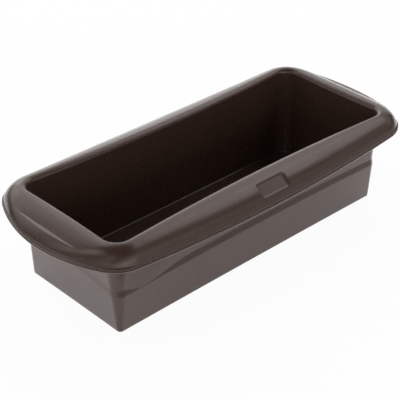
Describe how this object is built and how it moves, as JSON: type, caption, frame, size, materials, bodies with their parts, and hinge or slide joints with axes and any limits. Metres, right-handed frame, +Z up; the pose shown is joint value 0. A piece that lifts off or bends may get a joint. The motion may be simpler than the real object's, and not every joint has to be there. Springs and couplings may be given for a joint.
{
  "type": "silicone loaf mould",
  "caption": "Deep rectangular baking mould with steep walls, a flat crest, a wide down-turned skirt with a handle ledge at each end and a wired lip.",
  "frame": {"origin": "middle of the flat base, on the surface the mould stands on", "axes": "+X along the length to one handle, -Y to the side with the plaque recess, +Z up"},
  "size_m": [0.3102, 0.1342, 0.0725],
  "materials": {
    "silicone": "satin",
    "wire": "drawn"
  },
  "bodies": {
    "root": {"silicone_moulding": "silicone", "rim_wire": "wire"}
  },
  "joints": []
}
